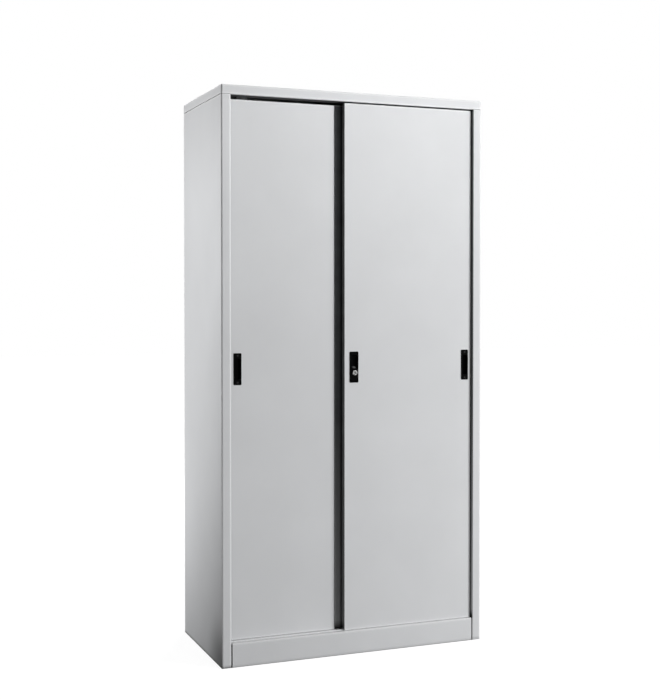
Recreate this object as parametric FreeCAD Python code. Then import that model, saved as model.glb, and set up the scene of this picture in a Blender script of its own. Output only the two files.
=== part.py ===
import FreeCAD, Part
import math
import os

# Sliding door cabinet: a folded sheet-steel cupboard with two doors that roll past each other.
# Millimetres. +Z is up, the front looks along -Y, and the origin is the centre of the base.

# Whole cabinet
width = 915.0
depth = 457.0
height = 1830.0
sheet = 0.9
bend_radius = 0.9
edge_fold_radius = 2.1
side_clearance = 0.3
pin_clearance = 0.05
overrun = 5.0

# Body panels
post_width = 32.0
post_return = 8.5
post_fold_radius = 5.1
rear_flange = 20.0
top_flange = 15.0
foot_flange = 20.0
top_lip = 30.0
top_front_return = 8.0
back_rib_width = 36.0
back_rib_flat = 20.0
back_rib_depth = 3.0
back_rib_spacing = 300.0

# Base
plinth_height = 76.0
plinth_seam = 2.5
plinth_return = 25.0
ledge_margin = 5.0
ledge_drop = 15.0
deck_lip = 25.0
deck_return = 12.0
rail_flange = 25.0

# Doors
front_setback = 9.0
door_thickness = 20.0
door_gap = 8.0
door_edge_gap = 3.2
door_overlap = 78.0
door_bottom_gap = 1.0
front_door_top_gap = 4.0
rear_door_top_gap = 9.5
door_rear_lip = 14.0
stiffener_width = 40.0
stiffener_brim = 12.0
stiffener_depth = 15.0
stiffener_end_gap = 40.0

# Bottom rails and rollers
rail_width = 2.4
rail_height = 3.0
rail_crown_share = 0.9
rail_foot_width = 7.0
rail_foot_thickness = 0.8
rail_door_clearance = 1.0
roller_inset = 60.0
roller_radius = 9.5
roller_rim = 2.0
roller_width = 7.0
roller_groove = 3.6
roller_groove_slope = 0.8
roller_side_clearance = 0.5
axle_radius = 2.5
axle_end = 1.0
bracket_sheet = 1.5
bracket_end = 9.0
rivet_radius = 1.2
rivet_head_radius = 1.8
rivet_head = 0.6

# Top track and guides
track_sheet = 1.2
track_leg_spread = 0.5
guide_inset = 45.0
guide_length = 36.0
guide_thickness = 9.0
guide_end_share = 0.6
guide_engagement = 15.0
guide_base_length = 46.0
guide_base_width = 14.0
guide_base = 2.0
guide_peg_length = 20.0
guide_peg_width = 6.0
guide_peg_drop = 3.0

# Rubber strips
buffer_base = 2.5
buffer_rib = 12.0
buffer_wall = 2.0
buffer_nose_share = 0.9
buffer_clearance = 2.0
closing_lip = 2.3
closing_lip_wrap = 2.9
closing_lip_setback = 0.9
overlap_seal_width = 34.5
overlap_seal_thickness = 3.0
overlap_seal_show = 24.5
edge_seal_thickness = 1.5
edge_seal_front_inset = 2.5
edge_seal_rear_inset = 0.5
seal_end_gap = 1.5
seal_round = 0.7

# Pulls
pull_center_height = 938.2
pull_height = 101.5
pull_width = 26.0
pull_rim = 2.0
pull_rim_land = 2.5
pull_rim_round = 0.7
pull_corner = 3.5
pull_cup_depth = 12.0
pull_wall = 1.6
pull_screw_land = 16.0
pull_recess_corner = 5.0
pull_recess_floor_round = 3.0
pull_screw_radius = 1.6
pull_screw_head_radius = 2.9
pull_screw_head = 1.3
pull_screw_length = 9.0
pull_screw_recess_width = 0.8
pull_screw_recess_length = 3.0
pull_screw_recess_depth = 0.7
rear_pull_inset = 28.0
front_pull_inset = 22.9

# Lock pull and lock
lock_pull_width = 31.0
lock_pull_inset = 17.5
lock_pull_end_land = 7.0
lock_recess_height = 44.0
lock_recess_top = 11.0
lock_boss_radius = 14.0
lock_boss_slope = 10.0
snap_lug = 0.8
snap_lug_depth = 2.0
snap_lug_height = 12.0
lock_drop = 18.0
lock_side_shift = 1.5
lock_head_radius = 8.3
lock_head_length = 5.5
lock_head_round = 0.8
lock_barrel_radius = 7.0
lock_plug_radius = 5.5
lock_plug_proud = 0.3
key_slot_width = 1.8
key_slot_height = 7.5
key_slot_depth = 6.0
lock_nut_corner_count = 6
lock_nut_radius = 11.5
lock_nut_thickness = 4.0
barrel_tail = 0.9
cam_length = 24.0
cam_half_width = 6.0
cam_thickness = 1.6
cam_offset = 0.4
cam_tip_round = 2.0
cam_screw_radius = 2.0
cam_screw_head_radius = 3.5
cam_screw_head = 1.1
cam_screw_length = 6.0
striker_play = 1.0
striker_sheet = 1.5
striker_base = 15.0
striker_low = 10.0
striker_rivet_shares = (0.22, 0.78)
striker_tip_gap = 1.0

# Shelves
upright_width = 30.0
upright_depth = 15.0
upright_front_inset = 29.0
upright_rear_inset = 34.0
slot_width = 3.5
slot_height = 14.0
slot_pitch = 50.0
slot_first = 40.0
shelf_lip = 25.0
shelf_return = 12.0
shelf_front_gap = 4.0
shelf_rear_gap = 1.5
shelf_side_gap = 0.5
lower_shelf_slot_count = 7
middle_shelf_slot_count = 16
upper_shelf_slot_count = 24
clip_sheet = 1.2
clip_width = 18.0
clip_reach = 14.0
clip_height = 18.0
clip_hook = 2.5
clip_hook_height = 8.0

# Body screws
screw_radius = 2.4
screw_head_radius = 4.2
screw_head = 1.0
screw_tail = 3.0
screw_recess_width = 1.1
screw_recess_length = 4.4
screw_recess_depth = 0.6
back_screw_count = 7
back_screw_end = 60.0
top_screw_shares = (0.32, 0.5, 0.72)

# Sizes that follow from those above
half_width = width / 2
inner_half = half_width - sheet
front = -depth / 2
rear = depth / 2 - screw_head
back_outer = rear - sheet
back_inner = back_outer - sheet - back_rib_depth
body_height = height - top_lip
rear_setback = front_setback + door_thickness + door_gap
ledge_depth = rear_setback + door_thickness + ledge_margin
ledge_rear = front + ledge_depth
deck_rear = back_inner - side_clearance
door_outer_edge = half_width - post_width - door_edge_gap
door_width = (2 * door_outer_edge + door_overlap) / 2
door_travel = 2 * door_outer_edge - door_width - edge_seal_thickness
door_bottom = plinth_height + door_bottom_gap
rail_top = plinth_height + rail_height
axle_height = rail_top + side_clearance + roller_radius
roller_rim_radius = roller_radius + roller_rim
bracket_inside = roller_width / 2 + roller_side_clearance
bracket_outside = bracket_inside + bracket_sheet
bracket_foot_edge = door_thickness / 2 - sheet - bend_radius - side_clearance
buffer_nose = door_outer_edge + buffer_clearance
track_bottom = body_height + sheet + side_clearance
upright_face = inner_half - upright_depth
upright_top = body_height - sheet
shelf_front = ledge_rear + shelf_front_gap
shelf_slot_counts = {
    "lower": lower_shelf_slot_count,
    "middle": middle_shelf_slot_count,
    "upper": upper_shelf_slot_count,
}
upright_places = {
    "front": ledge_rear + upright_front_inset + upright_width / 2,
    "rear": back_inner - upright_rear_inset - upright_width / 2,
}


def vector(x, y, z):
    return FreeCAD.Vector(x, y, z)


def block(x_low, x_high, y_low, y_high, z_low, z_high):
    """Box between two opposite corners."""
    return Part.makeBox(x_high - x_low, y_high - y_low, z_high - z_low, vector(x_low, y_low, z_low))


def rod_along_y(x, z, radius, y_low, y_high):
    return Part.makeCylinder(radius, y_high - y_low, vector(x, y_low, z), vector(0, 1, 0))


def rod_along_z(x, y, radius, z_low, z_high):
    return Part.makeCylinder(radius, z_high - z_low, vector(x, y, z_low))


def rounded_face(corners, radii):
    """Flat face in the XY plane through corners, each rounded by its own radius."""
    arcs = []
    for index, (corner, radius) in enumerate(zip(corners, radii)):
        back = (corners[index - 1] - corner).normalize()
        ahead = (corners[(index + 1) % len(corners)] - corner).normalize()
        half_angle = back.getAngle(ahead) / 2
        reach = radius / math.tan(half_angle)
        center = corner + (back + ahead).normalize() * (radius / math.sin(half_angle)) if radius else corner
        middle = center + (corner - center).normalize() * radius if radius else corner
        arcs.append((corner + back * reach, middle, corner + ahead * reach, radius))
    edges = []
    for index, (start, middle, end, radius) in enumerate(arcs):
        edges.append(Part.LineSegment(arcs[index - 1][2], start).toShape())
        if radius:
            edges.append(Part.Arc(start, middle, end).toShape())
    return Part.Face(Part.Wire(edges))


def folded_section(points, thickness=sheet, radius=bend_radius, radii=None):
    """Section of a folded strip whose outer line is points, with the metal to the left of that line.

    Every fold has the same inner radius, or each its own from radii.
    """
    radii = radii or [radius] * (len(points) - 2)
    line = [vector(u, v, 0) for u, v in points]
    ways = [(end - start).normalize() for start, end in zip(line, line[1:])]
    lefts = [vector(-way.y, way.x, 0) for way in ways]
    inside = [line[0] + lefts[0] * thickness]
    outer_radii = [0.0]
    inner_radii = [0.0]
    for index, fold in enumerate(radii, 1):
        before, after = lefts[index - 1], lefts[index]
        inside.append(line[index] + (before + after) * (thickness / (1 + before.dot(after))))
        turns_to_metal = ways[index - 1].cross(ways[index]).z > 0
        outer_radii.append(fold + thickness if turns_to_metal else fold)
        inner_radii.append(fold if turns_to_metal else fold + thickness)
    inside.append(line[-1] + lefts[-1] * thickness)
    outer_radii.append(0.0)
    inner_radii.append(0.0)
    return rounded_face(line + inside[::-1], outer_radii + inner_radii[::-1])


def rounded_rectangle(u_low, u_high, v_low, v_high, radii):
    """Rectangle face with its corners rounded: low-low, high-low, high-high, low-high."""
    corners = [(u_low, v_low), (u_high, v_low), (u_high, v_high), (u_low, v_high)]
    return rounded_face([vector(u, v, 0) for u, v in corners], radii)


def along_x(face, x_low, x_high):
    """Extrude a YZ section, drawn in the XY plane, along X."""
    solid = face.extrude(vector(0, 0, x_high - x_low))
    solid.translate(vector(0, 0, x_low))
    solid.rotate(vector(0, 0, 0), vector(1, 1, 1), 120)
    return solid


def along_z(face, z_low, z_high):
    """Extrude an XY section along Z."""
    solid = face.extrude(vector(0, 0, z_high - z_low))
    solid.translate(vector(0, 0, z_low))
    return solid


def along_y(face, y_low, y_high):
    """Extrude an XZ section, drawn in the XY plane, along Y."""
    solid = face.extrude(vector(0, 0, y_high - y_low))
    solid.rotate(vector(0, 0, 0), vector(1, 0, 0), 90)
    solid.translate(vector(0, y_high, 0))
    return solid


def is_front_upright(edge, middle):
    box = edge.BoundBox
    return box.ZLength > box.XLength + box.YLength and box.YMax < middle


def rounded_box(low, high, radius, front_radius):
    """Box with every edge rounded, the two upright ones at its front by a radius of their own."""
    box = block(low[0], high[0], low[1], high[1], low[2], high[2])
    if front_radius == radius:
        return box.makeFillet(radius, box.Edges)
    middle = (low[1] + high[1]) / 2
    box = box.makeFillet(front_radius, [edge for edge in box.Edges if is_front_upright(edge, middle)])
    return box.makeFillet(radius, [edge for edge in box.Edges if not is_front_upright(edge, middle)])


def folded_pan(low, high, window, radius=bend_radius, front_radius=None):
    """One sheet folded round all the edges of a box, and open through one window."""
    front_radius = front_radius or radius
    outer = rounded_box(low, high, sheet + radius, sheet + front_radius)
    inner_low = [value + sheet for value in low]
    inner_high = [value - sheet for value in high]
    inner = rounded_box(inner_low, inner_high, radius, front_radius)
    return outer.cut(inner).cut(window)


def mirrored(shape):
    """Copy on the other side of the cabinet's middle plane."""
    return shape.mirror(vector(0, 0, 0), vector(1, 0, 0))


def save(name, *solids):
    """Write one piece, or a group of like pieces, as one file."""
    shape = solids[0] if len(solids) == 1 else Part.makeCompound(solids)
    shape = shape.removeSplitter()
    for solid in shape.Solids:
        if not solid.isValid():
            raise ValueError(name + " is not a valid solid")
    shape = shape.Solids[0] if len(shape.Solids) == 1 else Part.makeCompound(shape.Solids)
    shape.exportStep(os.path.join("parts", name + ".step"))


# Places of the body screws


def back_screw_heights():
    span = body_height - 2 * back_screw_end
    return [back_screw_end + span * index / (back_screw_count - 1) for index in range(back_screw_count)]


def top_screw_depths():
    return [front + depth * share for share in top_screw_shares]


back_screw_x = inner_half - (rear_flange - sheet) / 2
top_screw_x = inner_half - top_flange / 2


# Body panels


def side_panel():
    """Left side: one sheet folded to a front post with a return, a rear, a top and a foot flange."""
    plan = [
        (rear_flange - half_width, rear),
        (-half_width, rear),
        (-half_width, front),
        (post_width - half_width, front),
        (post_width - half_width, front + post_return),
    ]
    radii = [edge_fold_radius, post_fold_radius, post_fold_radius]
    panel = along_z(folded_section(plan, radii=radii), 0, body_height)
    fold_end = front + sheet + post_fold_radius
    top = block(-inner_half, top_flange - inner_half, fold_end, back_outer, upright_top, body_height)
    foot = block(-inner_half, foot_flange - inner_half, ledge_rear, back_outer, 0, sheet)
    panel = panel.fuse([top, foot]).cut(side_top_rounding())
    hole = screw_radius + pin_clearance
    for z in back_screw_heights():
        panel = panel.cut(rod_along_y(-back_screw_x, z, hole, back_outer - overrun, rear + overrun))
    for y in top_screw_depths():
        panel = panel.cut(rod_along_z(-top_screw_x, y, hole, upright_top - overrun, body_height + overrun))
    return panel


def side_top_rounding():
    """What the left side loses where its skin folds over into the top flange."""
    radius = sheet + bend_radius
    fold_x = radius - half_width
    fold_z = body_height - radius
    ends = (front + sheet + post_fold_radius, rear - sheet - edge_fold_radius)
    corner = block(-half_width - overrun, fold_x, ends[0], ends[1], fold_z, body_height + overrun)
    return corner.cut(rod_along_y(fold_x, fold_z, radius, ends[0], ends[1]))


def top_panel():
    """Shallow tray, turned over, with a return folded inwards all round its lip."""
    window = block(
        top_flange - inner_half,
        inner_half - top_flange,
        front + top_front_return,
        rear - top_flange,
        body_height - overrun,
        body_height + sheet + edge_fold_radius,
    )
    low = (-half_width, front, body_height)
    panel = folded_pan(low, (half_width, rear, height), window, edge_fold_radius, post_fold_radius)
    hole = screw_radius + pin_clearance
    for y in top_screw_depths():
        for x in (-top_screw_x, top_screw_x):
            panel = panel.cut(rod_along_z(x, y, hole, body_height - overrun, body_height + sheet + overrun))
    return panel


def back_panel():
    """Flat sheet behind the shelves, stiffened by two shallow upright ribs."""
    edge = inner_half - edge_fold_radius - side_clearance
    outline = [(edge, back_outer)]
    for middle in (back_rib_spacing / 2, -back_rib_spacing / 2):
        outline.append((middle + back_rib_width / 2, back_outer))
        outline.append((middle + back_rib_flat / 2, back_outer - back_rib_depth))
        outline.append((middle - back_rib_flat / 2, back_outer - back_rib_depth))
        outline.append((middle - back_rib_width / 2, back_outer))
    outline.append((-edge, back_outer))
    panel = along_z(folded_section(outline), sheet + side_clearance, upright_top - side_clearance)
    for z in back_screw_heights():
        for x in (-back_screw_x, back_screw_x):
            hole = rod_along_y(x, z, screw_radius + pin_clearance, back_outer - overrun, rear)
            panel = panel.cut(hole)
    return panel


def cross_recess(face, recess_width, recess_length, recess_depth):
    """Crossed slots that a driver turns, cut upwards from a screw's face."""
    top = face + recess_depth
    half = recess_width / 2
    reach = recess_length / 2
    slot = block(-reach, reach, -half, half, face - overrun, top)
    return slot.fuse(block(-half, half, -reach, reach, face - overrun, top))


def body_screw(length):
    """Pan-head screw: the head's seat is at the origin, and the shank runs along +Z."""
    head = Part.makeCylinder(screw_head_radius, screw_head, vector(0, 0, -screw_head))
    rim = min(head.Faces, key=lambda face: face.CenterOfMass.z).Edges
    head = head.makeFillet(screw_head / 2, rim)
    recess = cross_recess(-screw_head, screw_recess_width, screw_recess_length, screw_recess_depth)
    return head.fuse(Part.makeCylinder(screw_radius, length)).cut(recess)


def back_panel_screws():
    screws = []
    for z in back_screw_heights():
        for x in (-back_screw_x, back_screw_x):
            screw = body_screw(2 * sheet + screw_tail)
            screw.rotate(vector(0, 0, 0), vector(1, 0, 0), 90)
            screw.translate(vector(x, rear, z))
            screws.append(screw)
    return screws


def top_panel_screws():
    screws = []
    for y in top_screw_depths():
        for x in (-top_screw_x, top_screw_x):
            screw = body_screw(2 * sheet + screw_tail)
            screw.translate(vector(x, y, upright_top))
            screws.append(screw)
    return screws


# Base


def plinth():
    """Front skirt whose top folds back into the ledge that carries the rails."""
    section = [
        (ledge_rear, plinth_height - ledge_drop),
        (ledge_rear, plinth_height),
        (front, plinth_height),
        (front, 0),
        (front + plinth_return, 0),
    ]
    skirt = along_x(folded_section(section, radius=edge_fold_radius), -inner_half, inner_half)
    notch = block(
        half_width - post_width - plinth_seam,
        half_width + overrun,
        front - overrun,
        front + post_return + side_clearance,
        -overrun,
        plinth_height + overrun,
    )
    return skirt.cut(notch).cut(mirrored(notch))


def floor_pan():
    low = (-inner_half, ledge_rear, plinth_height - deck_lip)
    high = (inner_half, deck_rear, plinth_height)
    inset = sheet + deck_return
    window = block(
        inset - inner_half,
        inner_half - inset,
        ledge_rear + inset,
        deck_rear - inset,
        low[2] - overrun,
        low[2] + sheet + bend_radius,
    )
    return folded_pan(low, high, window)


def rear_base_rail():
    """Channel under the back of the floor pan."""
    back = deck_rear - sheet - deck_return - side_clearance
    top = plinth_height - sheet
    end = inner_half - max(foot_flange, sheet + deck_return) - side_clearance
    section = [(back - rail_flange, 0), (back, 0), (back, top), (back - rail_flange, top)]
    return along_x(folded_section(section), -end, end)


def bottom_rail(middle):
    """Low raised rail that a door's rollers straddle."""
    foot = block(
        -door_outer_edge,
        door_outer_edge,
        middle - rail_foot_width / 2,
        middle + rail_foot_width / 2,
        plinth_height,
        plinth_height + rail_foot_thickness,
    )
    crown = rail_width / 2 * rail_crown_share
    outline = rounded_rectangle(
        middle - rail_width / 2,
        middle + rail_width / 2,
        plinth_height,
        rail_top,
        [0.0, 0.0, crown, crown],
    )
    return foot.fuse(along_x(outline, -door_outer_edge, door_outer_edge))


def top_track(middles):
    """Inverted channel with two legs beside each row of guides."""
    end = inner_half - edge_fold_radius - side_clearance
    top = height - sheet
    spread = guide_thickness / 2 + track_leg_spread
    web_low = min(middles) - spread - track_sheet
    web_high = max(middles) + spread + track_sheet
    track = block(-end, end, web_low, web_high, top - track_sheet, top)
    for middle in middles:
        for leg in (middle - spread - track_sheet, middle + spread):
            track = track.fuse(block(-end, end, leg, leg + track_sheet, track_bottom, top))
    return track


def post_buffer(middles):
    """Rubber strip inside the left post, with a hollow rib in line with each door's edge."""
    low = -inner_half
    nose = -buffer_nose
    fold_end = front + sheet + post_fold_radius
    strip = block(low, low + buffer_base, fold_end, ledge_rear, plinth_height, upright_top)
    for middle in middles:
        sides = (middle - buffer_rib / 2, middle + buffer_rib / 2)
        round_nose = buffer_rib / 2 * buffer_nose_share
        outline = rounded_rectangle(low, nose, sides[0], sides[1], [0.0, round_nose, round_nose, 0.0])
        rib = along_z(outline, plinth_height, upright_top)
        hollow = block(
            low + buffer_base,
            nose - buffer_rib / 2,
            sides[0] + buffer_wall,
            sides[1] - buffer_wall,
            plinth_height - overrun,
            upright_top + overrun,
        )
        strip = strip.fuse(rib.cut(hollow))
    return strip


def closing_buffer(middles):
    """Rubber strip inside the right post, with a lip round the post's return that the front door closes to."""
    strip = mirrored(post_buffer(middles))
    post_edge = half_width - post_width
    lip = block(
        post_edge - closing_lip,
        post_edge + closing_lip_wrap,
        front + closing_lip_setback,
        min(middles),
        plinth_height,
        upright_top,
    )
    round_of_post = sheet + post_fold_radius + pin_clearance
    post = rounded_rectangle(
        post_edge - pin_clearance,
        half_width,
        front - pin_clearance,
        front + post_return + pin_clearance,
        [round_of_post, 0.0, 0.0, 0.0],
    )
    return strip.fuse(lip.cut(along_z(post, 0, height)))


# Shelves


def slot_low(number):
    return plinth_height + slot_first + slot_pitch * number


def shelf_bottom(number):
    return slot_low(number) + side_clearance


def shelf_upright(middle):
    """Slotted channel on the left side panel, open towards the panel."""
    section = [
        (-inner_half, middle - upright_width / 2),
        (-upright_face, middle - upright_width / 2),
        (-upright_face, middle + upright_width / 2),
        (-inner_half, middle + upright_width / 2),
    ]
    upright = along_z(folded_section(section), plinth_height, upright_top)
    slot_count = int((upright_top - slot_low(0)) / slot_pitch)
    slots = []
    for number in range(slot_count):
        slot = block(
            -upright_face - overrun,
            overrun - upright_face,
            middle - slot_width / 2,
            middle + slot_width / 2,
            slot_low(number),
            slot_low(number) + slot_height,
        )
        slots.append(slot)
    return upright.cut(slots)


def shelf(number):
    half = upright_face - clip_sheet - shelf_side_gap
    bottom = shelf_bottom(number)
    low = (-half, shelf_front, bottom)
    high = (half, back_inner - shelf_rear_gap, bottom + shelf_lip)
    inset = sheet + shelf_return
    window = block(
        inset - half,
        half - inset,
        low[1] + inset,
        high[1] - inset,
        bottom - overrun,
        bottom + sheet + bend_radius,
    )
    return folded_pan(low, high, window)


def shelf_clip(number, middle):
    """Angle clip on the left side: a hook in the upright's slot, a tongue, and a ledge under the shelf."""
    bottom = shelf_bottom(number)
    sides = (middle - clip_width / 2, middle + clip_width / 2)
    tongue_inner = clip_sheet - upright_face
    tongue = block(-upright_face, tongue_inner, sides[0], sides[1], bottom - clip_sheet, bottom + clip_height)
    ledge = block(-upright_face, tongue_inner + clip_reach, sides[0], sides[1], bottom - clip_sheet, bottom)
    hook_half = slot_width / 2 - side_clearance
    hook = block(
        -upright_face - sheet - clip_hook,
        -upright_face,
        middle - hook_half,
        middle + hook_half,
        bottom,
        bottom + clip_hook_height,
    )
    return tongue.fuse([ledge, hook])


def shelf_clips():
    clips = []
    for number in shelf_slot_counts.values():
        for middle in upright_places.values():
            clip = shelf_clip(number, middle)
            clips += [clip, mirrored(clip)]
    return clips


# Doors


def countersunk_screw(radius, head_radius, head, length):
    """Screw along +Z: the flat of its head is at the origin, and the point is up."""
    cone = Part.makeCone(head_radius, radius, head)
    return cone.fuse(Part.makeCylinder(radius, length))


class Door:
    """One door: where it stands, and the pieces that ride on it."""

    def __init__(self, x_low, setback, top_gap):
        self.x_low = x_low
        self.x_high = x_low + door_width
        self.face = front + setback
        self.back = self.face + door_thickness
        self.middle = self.face + door_thickness / 2
        self.top = body_height - top_gap
        self.roller_places = {"left": self.x_low + roller_inset, "right": self.x_high - roller_inset}
        self.guide_places = {"left": self.x_low + guide_inset, "right": self.x_high - guide_inset}

    def pan(self):
        """Door skin folded back round its edges, with a slot below for the rail and pegs' holes above."""
        inset = sheet + door_rear_lip
        window = block(
            self.x_low + inset,
            self.x_high - inset,
            self.back - sheet - bend_radius,
            self.back + overrun,
            door_bottom + inset,
            self.top - inset,
        )
        pan = folded_pan((self.x_low, self.face, door_bottom), (self.x_high, self.back, self.top), window)
        rail_slot = block(
            self.x_low - overrun,
            self.x_high + overrun,
            self.middle - bracket_inside,
            self.middle + bracket_inside,
            door_bottom - overrun,
            rail_top + rail_door_clearance,
        )
        pan = pan.cut(rail_slot)
        for x in self.guide_places.values():
            pan = pan.cut(self.guide_peg(x, pin_clearance))
        for x, y in self.rivet_places():
            pan = pan.cut(self.rivet_hole(x, y))
        return pan

    def stiffener(self):
        """Hat channel fixed upright behind the middle of the skin."""
        middle = (self.x_low + self.x_high) / 2
        skin = self.face + sheet
        crown = skin + stiffener_depth
        half = stiffener_width / 2
        section = [
            (middle - half - stiffener_brim, skin),
            (middle - half, skin),
            (middle - half, crown),
            (middle + half, crown),
            (middle + half, skin),
            (middle + half + stiffener_brim, skin),
        ]
        return along_z(folded_section(section), door_bottom + stiffener_end_gap, self.top - stiffener_end_gap)

    def guide_peg(self, x, clearance):
        half_length = guide_peg_length / 2 + clearance
        half_width_of_peg = guide_peg_width / 2 + clearance
        return block(
            x - half_length,
            x + half_length,
            self.middle - half_width_of_peg,
            self.middle + half_width_of_peg,
            self.top - guide_peg_drop,
            self.top,
        )

    def guide(self, x):
        """Plastic fin that runs in the top track, on a base pegged to the door."""
        base = block(
            x - guide_base_length / 2,
            x + guide_base_length / 2,
            self.middle - guide_base_width / 2,
            self.middle + guide_base_width / 2,
            self.top,
            self.top + guide_base,
        )
        ends = [guide_thickness / 2 * guide_end_share] * 4
        fin_plan = rounded_rectangle(
            x - guide_length / 2,
            x + guide_length / 2,
            self.middle - guide_thickness / 2,
            self.middle + guide_thickness / 2,
            ends,
        )
        fin = along_z(fin_plan, self.top + guide_base, track_bottom + guide_engagement)
        return base.fuse([fin, self.guide_peg(x, 0)])

    def bracket_half_length(self):
        return roller_rim_radius + bracket_end

    def rivet_places(self):
        """Rivets at the four corners of each roller bracket's feet."""
        along = self.bracket_half_length() - rivet_head_radius
        across = (bracket_inside + bracket_foot_edge) / 2
        return [
            (x + way * along, self.middle + side * across)
            for x in self.roller_places.values()
            for way in (-1, 1)
            for side in (-1, 1)
        ]

    def rivet_hole(self, x, y):
        return rod_along_z(x, y, rivet_radius + pin_clearance, door_bottom - overrun, door_bottom + overrun)

    def bracket(self, x):
        """Stirrup over a roller, with feet on the door's lower fold."""
        floor = door_bottom + sheet
        top = axle_height + roller_rim_radius + rail_door_clearance + bracket_sheet
        foot = bracket_foot_edge
        section = [
            (self.middle - foot, floor),
            (self.middle - bracket_inside, floor),
            (self.middle - bracket_inside, top - bracket_sheet),
            (self.middle + bracket_inside, top - bracket_sheet),
            (self.middle + bracket_inside, floor),
            (self.middle + foot, floor),
        ]
        half = self.bracket_half_length()
        stirrup = along_x(folded_section(section, bracket_sheet), x - half, x + half)
        cheek_end = roller_rim_radius
        for low, high in ((x - half, x - cheek_end), (x + cheek_end, x + half)):
            spare = block(low, high, self.middle - foot, self.middle + foot, floor + bracket_sheet, top)
            stirrup = stirrup.cut(spare)
        hole = rod_along_y(
            x, axle_height, axle_radius + pin_clearance, self.middle - foot, self.middle + foot
        )
        stirrup = stirrup.cut(hole)
        for rivet_x, rivet_y in self.rivet_places():
            stirrup = stirrup.cut(self.rivet_hole(rivet_x, rivet_y))
        return stirrup

    def rivets(self):
        """Rivets through the bracket's feet, with a flat head inside and one outside."""
        solids = []
        low = door_bottom
        high = door_bottom + sheet + bracket_sheet
        for x, y in self.rivet_places():
            shank = rod_along_z(x, y, rivet_radius, low, high)
            inner = rod_along_z(x, y, rivet_head_radius, high, high + rivet_head)
            outer = rod_along_z(x, y, rivet_head_radius, low - rivet_head, low)
            solids.append(shank.fuse([inner, outer]))
        return solids

    def axle(self, x):
        half = bracket_outside + axle_end
        return rod_along_y(x, axle_height, axle_radius, self.middle - half, self.middle + half)

    def roller(self, x):
        """Grooved nylon wheel."""
        half = roller_width / 2
        groove = roller_groove / 2
        bore = axle_radius + pin_clearance
        outline = [
            (bore, -half),
            (roller_rim_radius, -half),
            (roller_rim_radius, -groove - roller_groove_slope),
            (roller_radius, -groove),
            (roller_radius, groove),
            (roller_rim_radius, groove + roller_groove_slope),
            (roller_rim_radius, half),
            (bore, half),
        ]
        section = rounded_face([vector(u, v, 0) for u, v in outline], [0.0] * len(outline))
        wheel = section.revolve(vector(0, 0, 0), vector(0, 1, 0), 360)
        wheel.translate(vector(x, self.middle, axle_height))
        return wheel


front_door = Door(door_outer_edge - door_width, front_setback, front_door_top_gap)
rear_door = Door(-door_outer_edge, rear_setback, rear_door_top_gap)


# Pulls


def pull_rim_plate(x, z, plate_width, face):
    """Rim of a pull, standing on the door's face with its front edges eased."""
    outline = rounded_rectangle(
        x - plate_width / 2,
        x + plate_width / 2,
        z - pull_height / 2,
        z + pull_height / 2,
        [pull_corner] * 4,
    )
    plate = along_y(outline, face - pull_rim, face)
    front_face = min(plate.Faces, key=lambda side: side.CenterOfMass.y)
    return plate.makeFillet(pull_rim_round, front_face.Edges)


def finger_recess(x, z_low, z_high, recess_width, face):
    """Scoop that fingers reach into, with a rounded floor."""
    outline = rounded_rectangle(
        x - recess_width / 2, x + recess_width / 2, z_low, z_high, [pull_recess_corner] * 4
    )
    floor = face + pull_cup_depth - pull_wall
    scoop = along_y(outline, face - pull_rim - overrun, floor)
    floor_face = max(scoop.Faces, key=lambda side: side.CenterOfMass.y)
    return scoop.makeFillet(pull_recess_floor_round, floor_face.Edges)


def pull_cup(x, z_low, z_high, plate_width, face, clearance):
    """Body of a pull behind the rim, or the hole for it in the door's skin."""
    half = plate_width / 2 - pull_rim_land + clearance
    return block(x - half, x + half, face, face + pull_cup_depth, z_low - clearance, z_high + clearance)


class Pull:
    """Plain recessed pull, held by a screw at each end."""

    def __init__(self, x, face):
        self.x = x
        self.face = face
        reach = pull_height / 2 - pull_screw_land
        self.cup_low = pull_center_height - reach
        self.cup_high = pull_center_height + reach
        edge = pull_height / 2 - pull_screw_land / 2
        self.screw_heights = (pull_center_height - edge, pull_center_height + edge)

    def screw_form(self, clearance):
        return countersunk_screw(
            pull_screw_radius + clearance,
            pull_screw_head_radius + clearance,
            pull_screw_head,
            pull_screw_length,
        )

    def set_in_rim(self, screw, z):
        screw.rotate(vector(0, 0, 0), vector(1, 0, 0), -90)
        screw.translate(vector(self.x, self.face - pull_rim, z))
        return screw

    def screw_hole(self, z):
        return self.set_in_rim(self.screw_form(pin_clearance), z)

    def screws(self):
        recess = cross_recess(
            0, pull_screw_recess_width, pull_screw_recess_length, pull_screw_recess_depth
        )
        return [self.set_in_rim(self.screw_form(0).cut(recess), z) for z in self.screw_heights]

    def hole(self):
        """What the door's skin loses to the pull and its screws."""
        cup = pull_cup(self.x, self.cup_low, self.cup_high, pull_width, self.face, pin_clearance)
        return [cup] + [self.screw_hole(z) for z in self.screw_heights]

    def body(self):
        rim = pull_rim_plate(self.x, pull_center_height, pull_width, self.face)
        cup = pull_cup(self.x, self.cup_low, self.cup_high, pull_width, self.face, 0)
        recess_width = pull_width - 2 * (pull_rim_land + pull_wall)
        recess = finger_recess(
            self.x, self.cup_low + pull_wall, self.cup_high - pull_wall, recess_width, self.face
        )
        body = rim.fuse(cup).cut(recess)
        return body.cut([self.screw_hole(z) for z in self.screw_heights])


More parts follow.
